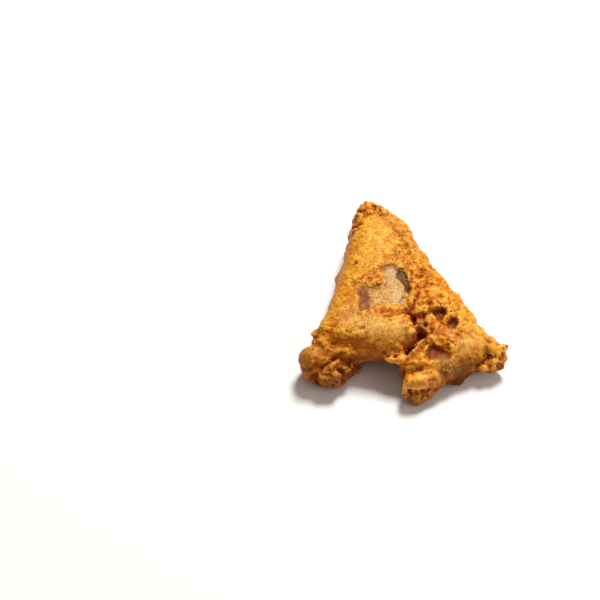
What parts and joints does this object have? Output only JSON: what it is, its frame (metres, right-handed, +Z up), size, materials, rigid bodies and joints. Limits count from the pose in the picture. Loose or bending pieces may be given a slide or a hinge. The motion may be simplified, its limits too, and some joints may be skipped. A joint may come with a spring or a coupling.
{
  "type": "catfish nugget",
  "caption": "Battered, fried fish nugget: a thick wedge with a knob at one near corner, a craggy leg at the other, and folds, craters and crust lumps on top.",
  "frame": {"origin": "middle of the bounding box, on the surface that the nugget lies on", "axes": "+X to the nugget's right, +Y from its two near corners to its narrow far end, +Z up, out of its shown side"},
  "size_m": [0.0754, 0.085, 0.0235],
  "materials": {
    "crust": "satin, with small oily glints"
  },
  "bodies": {
    "root": {"nugget": "crust"}
  },
  "joints": []
}
